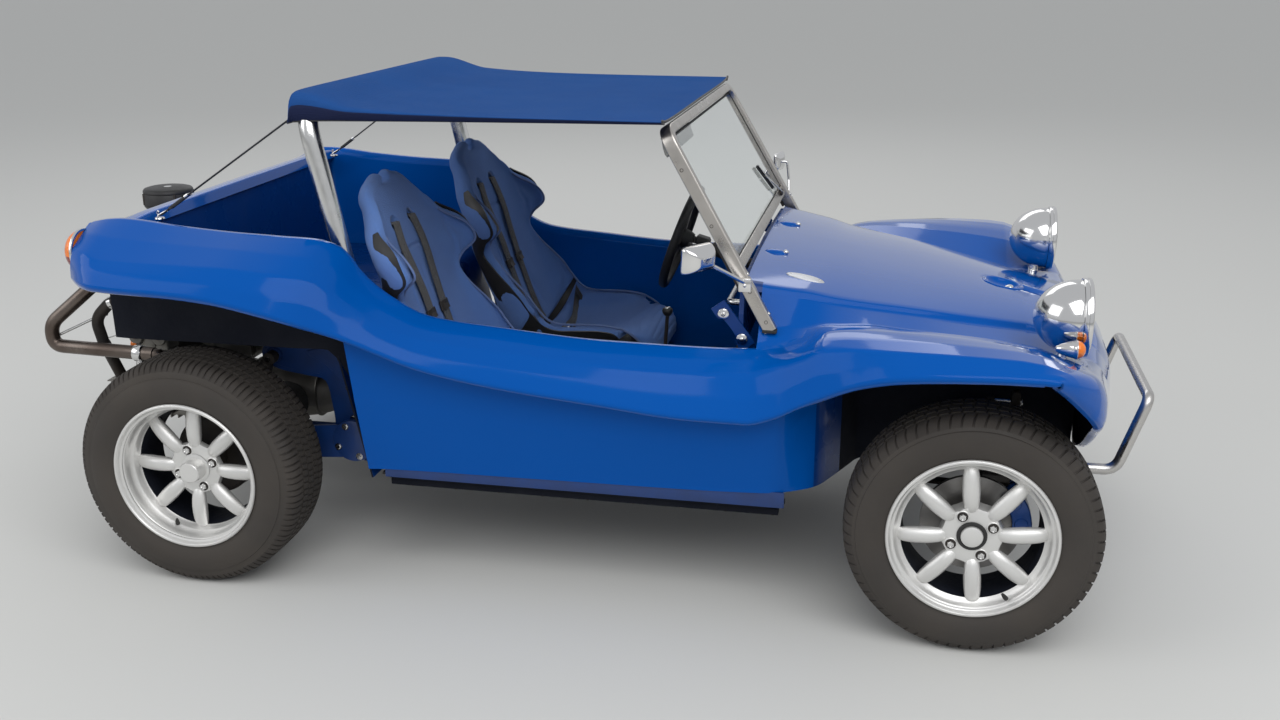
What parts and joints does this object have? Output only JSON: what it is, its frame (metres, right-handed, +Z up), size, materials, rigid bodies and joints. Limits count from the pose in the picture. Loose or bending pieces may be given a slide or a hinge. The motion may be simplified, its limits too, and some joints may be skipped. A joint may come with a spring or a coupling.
{
  "type": "dune buggy",
  "caption": "Open two-seat dune buggy: moulded body with wide fenders on a short pan, cloth roof on a hoop, bucket seats, rear engine, steered front wheels and free rolling wheels.",
  "frame": {"origin": "on the ground, under the middle of the buggy's length and width", "axes": "+X forward, +Y to the buggy's left, +Z up"},
  "size_m": [3.09, 1.67, 1.3369],
  "materials": {
    "body_paint": "high gloss blue gel coat",
    "chassis_paint": "dull blue and black chassis paint",
    "dark_metal": "oiled dark metal",
    "aged_tube": "aged, stained chromed tube",
    "chrome": "polished",
    "lamp_glass": "clear ribbed lens",
    "amber_lens": "amber lens in a chrome cone",
    "red_lens": "amber over red lens",
    "polished_aluminium": "polished flat section",
    "clear_glass": "clear laminated",
    "top_cloth": "stretched acrylic canvas",
    "webbing": "black webbing",
    "seat_plastic": "black moulded",
    "seat_fabric": "blue woven upholstery",
    "wheel_rim_grip": "black grip",
    "wheel_silver": "silver painted casting",
    "tyre_rubber": "block tread",
    "brake_iron": "machined"
  },
  "bodies": {
    "root": {"air_cleaner": "seat_plastic", "body_tub": "body_paint", "dashboard": "body_paint", "driver_seat_back": "seat_fabric", "driver_seat_cushion": "seat_fabric", "driver_seat_shell": "seat_plastic", "engine": "dark_metal", "exhaust": "aged_tube", "floor_pan": "chassis_paint", "front_axle_beam": "chassis_paint", "front_bumper": "chrome", "front_turn_signals": "amber_lens", "gear_lever": "dark_metal", "handbrake_lever": "dark_metal", "headlight_lenses": "lamp_glass", "headlights": "chrome", "hood": "body_paint", "mirrors": "chrome", "passenger_seat_back": "seat_fabric", "passenger_seat_cushion": "seat_fabric", "passenger_seat_shell": "seat_plastic", "pedals": "dark_metal", "rear_axle_tubes": "chassis_paint", "rear_bumper": "aged_tube", "rear_torsion_housing": "chassis_paint", "roll_hoop": "chrome", "shock_absorbers": "dark_metal", "soft_top": "top_cloth", "soft_top_straps": "webbing", "spring_plates": "chassis_paint", "steering_column": "dark_metal", "tail_lamps": "red_lens", "trailing_arms": "chassis_paint", "transaxle": "dark_metal", "windshield_frame": "polished_aluminium", "windshield_glass": "clear_glass"},
    "knuckle_left": {"knuckle_left": "dark_metal"},
    "wheel_front_left": {"rim_front_left": "wheel_silver", "tyre_front_left": "tyre_rubber", "brake_disc_front_left": "brake_iron"},
    "wheel_rear_left": {"rim_rear_left": "wheel_silver", "tyre_rear_left": "tyre_rubber"},
    "knuckle_right": {"knuckle_right": "dark_metal"},
    "wheel_front_right": {"rim_front_right": "wheel_silver", "tyre_front_right": "tyre_rubber", "brake_disc_front_right": "brake_iron"},
    "wheel_rear_right": {"rim_rear_right": "wheel_silver", "tyre_rear_right": "tyre_rubber"},
    "steering_wheel": {"steering_wheel": "wheel_rim_grip"},
    "track_rod": {"track_rod": "dark_metal"}
  },
  "joints": [
    {"name": "steer_left", "type": "hinge", "parent": "root", "child": "knuckle_left", "pos_m": [1.085, 0.54, 0.314], "axis": [0, 0, 1], "range_deg": [-28, 28]},
    {"name": "spin_front_left", "type": "hinge", "parent": "knuckle_left", "child": "wheel_front_left", "pos_m": [1.085, 0.62, 0.314], "axis": [0, 1, 0], "continuous": true},
    {"name": "spin_rear_left", "type": "hinge", "parent": "root", "child": "wheel_rear_left", "pos_m": [-0.989, 0.64, 0.322], "axis": [0, 1, 0], "continuous": true},
    {"name": "steer_right", "type": "hinge", "parent": "root", "child": "knuckle_right", "pos_m": [1.085, -0.54, 0.314], "axis": [0, 0, 1], "range_deg": [-28, 28]},
    {"name": "spin_front_right", "type": "hinge", "parent": "knuckle_right", "child": "wheel_front_right", "pos_m": [1.085, -0.62, 0.314], "axis": [0, 1, 0], "continuous": true},
    {"name": "spin_rear_right", "type": "hinge", "parent": "root", "child": "wheel_rear_right", "pos_m": [-0.989, -0.64, 0.322], "axis": [0, 1, 0], "continuous": true},
    {"name": "steering_wheel_turn", "type": "hinge", "parent": "root", "child": "steering_wheel", "pos_m": [0.185, 0.33, 0.8], "axis": [-0.9455, 0, 0.3256], "range_deg": [-392.5, 392.5]},
    {"name": "track_rod_slide", "type": "slide", "parent": "root", "child": "track_rod", "axis": [0, 1, 0], "range_m": [-0.0595, 0.0595]}
  ],
  "couplings": [
    {"joint": "steer_right", "follows": "steer_left", "ratio": 1},
    {"joint": "steering_wheel_turn", "follows": "steer_left", "ratio": 14},
    {"joint": "track_rod_slide", "follows": "steer_left", "m_per_rad": -0.12}
  ]
}
